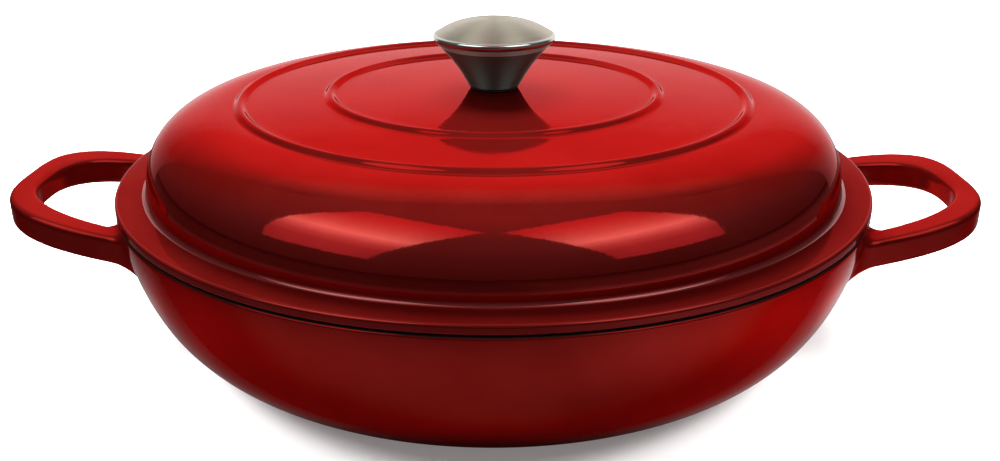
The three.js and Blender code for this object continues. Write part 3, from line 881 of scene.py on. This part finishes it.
# Stage
def floor():
    """Pale plane just below the base that takes the shadow and glows white far away.

    Its dim mirror image fades outwards and is brighter to the right. It is clear when seen from below.
    """
    half = 12.0
    level = -0.3 * MM
    corners = [(-half, -half, level), (half, -half, level), (half, half, level), (-half, half, level)]
    mesh = bpy.data.meshes.new("floor")
    mesh.from_pydata(corners, [], [(0, 1, 2, 3)])
    made, nodes, links, shader = material("floor_paper")
    grain = noise(nodes, links, coordinates(nodes), 3.0, 2.0)
    tone = ramp(nodes, links, grain.outputs["Fac"], greys(((0.3, 0.86), (0.7, 0.88))))
    links.new(tone.outputs["Color"], shader.inputs["Base Color"])
    shader.inputs["Roughness"].default_value = 1.0
    shader.inputs["Specular IOR Level"].default_value = 0.0
    shader.inputs["Emission Color"].default_value = (1, 1, 1, 1)
    dim = nodes.new("ShaderNodeBsdfDiffuse")
    reach = nodes.new("ShaderNodeVectorMath")
    reach.operation = "LENGTH"
    links.new(coordinates(nodes), reach.inputs[0])
    glow = spread(nodes, links, reach.outputs["Value"], 0.18, 1.0, 0.7, 1.8)
    links.new(glow, shader.inputs["Emission Strength"])
    fading = ramp(nodes, links, reach.outputs["Value"], greys((
        (0.14, 0.27), (0.17, 0.18), (0.21, 0.075), (0.30, 0.06), (0.42, 0.015),
    )))
    split = nodes.new("ShaderNodeSeparateXYZ")
    links.new(coordinates(nodes), split.inputs["Vector"])
    sided = nodes.new("ShaderNodeVectorMath")
    sided.operation = "SCALE"
    links.new(fading.outputs["Color"], sided.inputs[0])
    links.new(spread(nodes, links, split.outputs["X"], 0.75, 1.9, 0.04, 0.17), sided.inputs["Scale"])
    links.new(sided.outputs["Vector"], dim.inputs["Color"])
    mirrored = nodes.new("ShaderNodeMixShader")
    links.new(nodes.new("ShaderNodeLightPath").outputs["Is Glossy Ray"], mirrored.inputs["Fac"])
    links.new(shader.outputs["BSDF"], mirrored.inputs[1])
    links.new(dim.outputs["BSDF"], mirrored.inputs[2])
    below = nodes.new("ShaderNodeMixShader")
    links.new(nodes.new("ShaderNodeNewGeometry").outputs["Backfacing"], below.inputs["Fac"])
    links.new(mirrored.outputs["Shader"], below.inputs[1])
    links.new(nodes.new("ShaderNodeBsdfTransparent").outputs["BSDF"], below.inputs[2])
    links.new(below.outputs["Shader"], nodes["Material Output"].inputs["Surface"])
    mesh.materials.append(made)
    plane = bpy.data.objects.new("floor", mesh)
    bpy.context.scene.collection.objects.link(plane)
    plane.visible_diffuse = False
    return plane


def panel(name, place, target, half_width, half_height, upward, outward, again):
    """Glowing panel of two halves, seen only in reflections.

    upward lists its colour by height from 0 to 1, outward its strength by distance from its upright middle
    line. again is the share of its strength that is left in a reflection of a reflection.
    """
    across = np.array([-1, 0, 1, -1, 0, 1])
    up = np.array([-1, -1, -1, 1, 1, 1])
    points = np.stack([half_width * across, half_height * up, 0 * up], axis=1)
    faces = np.array([[0, 1, 4, 3], [1, 2, 5, 4]])
    mesh = bpy.data.meshes.new(name)
    mesh.from_pydata(points.tolist(), [], faces.tolist())
    uv = np.stack([np.abs(across), (up + 1) / 2], axis=1)[faces.ravel()]
    mesh.uv_layers.new(name="UVMap").data.foreach_set("uv", uv.astype(np.float32).ravel())
    made, nodes, links, shader = material(name)
    split = nodes.new("ShaderNodeSeparateXYZ")
    links.new(coordinates(nodes, "UV"), split.inputs["Vector"])
    tone = ramp(nodes, links, split.outputs["Y"], upward)
    strength = ramp(nodes, links, split.outputs["X"], greys(outward))
    bounces = nodes.new("ShaderNodeLightPath").outputs["Glossy Depth"]
    shown = nodes.new("ShaderNodeMath")
    shown.operation = "MULTIPLY"
    links.new(strength.outputs["Color"], shown.inputs[0])
    links.new(spread(nodes, links, bounces, 1.0, again, 1.0, 2.0), shown.inputs[1])
    emission = nodes.new("ShaderNodeEmission")
    links.new(tone.outputs["Color"], emission.inputs["Color"])
    links.new(shown.outputs["Value"], emission.inputs["Strength"])
    links.new(emission.outputs["Emission"], nodes["Material Output"].inputs["Surface"])
    nodes.remove(shader)
    mesh.materials.append(made)
    glowing = bpy.data.objects.new(name, mesh)
    glowing.location = place
    glowing.rotation_mode = "QUATERNION"
    glowing.rotation_quaternion = (Vector(target) - Vector(place)).to_track_quat("Z", "Y")
    bpy.context.scene.collection.objects.link(glowing)
    glowing.visible_camera = False
    glowing.visible_diffuse = False
    glowing.visible_shadow = False


def softbox(name, azimuth, elevation):
    """Large soft box before the pot, brightest along a level streak in its middle and dimmest below it."""
    distance = 1.1
    half_width = 0.39
    half_height = 0.61
    turn = math.radians(azimuth)
    lift = math.radians(elevation)
    towards = Vector((math.sin(turn) * math.cos(lift), -math.cos(turn) * math.cos(lift), math.sin(lift)))
    target = Vector((0, 0, 0.08))
    upward = (
        (0.0, (0.20, 0.10, 0.12)),
        (0.24, (0.25, 0.14, 0.16)),
        (0.36, (0.36, 0.32, 0.33)),
        (0.46, (0.55, 0.82, 0.77)),
        (0.50, (0.66, 1.15, 1.06)),
        (0.65, (0.48, 0.60, 0.56)),
        (0.77, (0.42, 0.33, 0.33)),
        (0.90, (0.37, 0.17, 0.19)),
        (1.0, (0.32, 0.13, 0.16)),
    )
    outward = ((0.0, 3.6), (0.5, 3.5), (1.0, 2.9))
    panel(name, target + distance * towards, target, half_width, half_height, upward, outward, 0.0)


def lamp(name, place, width, depth, energy, only=None):
    """Large soft light aimed at the pot; it isn't mirrored in the enamel. It may light only one object."""
    data = bpy.data.lights.new(name, "AREA")
    data.shape = "RECTANGLE"
    data.size = width
    data.size_y = depth
    data.energy = energy
    made = bpy.data.objects.new(name, data)
    made.location = place
    made.rotation_mode = "QUATERNION"
    made.rotation_quaternion = Vector(place).to_track_quat("Z", "Y")
    bpy.context.scene.collection.objects.link(made)
    made.visible_glossy = False
    if only is not None:
        lit = bpy.data.collections.new(name)
        lit.objects.link(only)
        made.light_linking.receiver_collection = lit


def surroundings():
    """White to the camera; in reflections a dim room that brightens overhead."""
    world = bpy.data.worlds.new("studio")
    bpy.context.scene.world = world
    world.use_nodes = True
    nodes, links = world.node_tree.nodes, world.node_tree.links
    output = nodes["World Output"]
    plain = nodes["Background"]
    plain.inputs["Color"].default_value = (1, 1, 1, 1)
    split = nodes.new("ShaderNodeSeparateXYZ")
    links.new(nodes.new("ShaderNodeTexCoord").outputs["Generated"], split.inputs["Vector"])
    glow = ramp(nodes, links, split.outputs["Z"], greys((
        (0.0, 0.06), (0.22, 0.09), (0.48, 0.13), (0.70, 0.19), (0.87, 0.21), (0.97, 0.28), (1.0, 0.34),
    )))
    room = nodes.new("ShaderNodeBackground")
    links.new(glow.outputs["Color"], room.inputs["Color"])
    seen = nodes.new("ShaderNodeMixShader")
    links.new(nodes.new("ShaderNodeLightPath").outputs["Is Camera Ray"], seen.inputs["Fac"])
    links.new(room.outputs["Background"], seen.inputs[1])
    links.new(plain.outputs["Background"], seen.inputs[2])
    links.new(seen.outputs["Shader"], output.inputs["Surface"])


def camera():
    """Camera a little above the pot, turned slightly about it and rolled slightly. Angles are in degrees."""
    look_down = 21.81
    lean = 0.05
    orbit = 0.6
    stand = Matrix.Translation((0.0024, -0.41779, 0.20073))
    data = bpy.data.cameras.new("camera")
    data.lens = 37.886
    data.sensor_width = 36
    made = bpy.data.objects.new("camera", data)
    pitch = Matrix.Rotation(math.radians(90 - look_down), 4, "X")
    roll = Matrix.Rotation(math.radians(lean), 4, "Z")
    turn = Matrix.Rotation(math.radians(orbit), 4, "Z")
    made.matrix_world = turn @ stand @ pitch @ roll
    bpy.context.scene.collection.objects.link(made)
    bpy.context.scene.camera = made


plane = floor()
softbox("left_softbox", -53, 45)
softbox("right_softbox", 54, 45)
panel(
    "back_panel", (0.03, 0.36, 0.5), (0.03, 0, 0.5), 0.6, 0.5,
    greys(((0.0, 0.95), (0.10, 1.0), (0.27, 0.98), (0.39, 0.92), (0.57, 0.76), (0.86, 0.42), (1.0, 0.34))),
    ((0.0, 1.04), (0.50, 1.0), (0.56, 0.92), (0.64, 0.74), (0.74, 0.55), (0.86, 0.36), (1.0, 0.18)), 0.25,
)
lamp("top_light", (-0.15, 0.75, 1.1), 0.9, 0.6, 16.0)
lamp("floor_top", (-0.10, 0.40, 1.2), 1.2, 0.8, 44.0, plane)
lamp("floor_left", (-1.0, -0.15, 0.9), 0.7, 0.5, 26.0, plane)
lamp("floor_right", (1.0, -0.20, 0.9), 0.7, 0.5, 24.0, plane)
surroundings()
camera()
bpy.context.scene.view_settings.view_transform = "Standard"
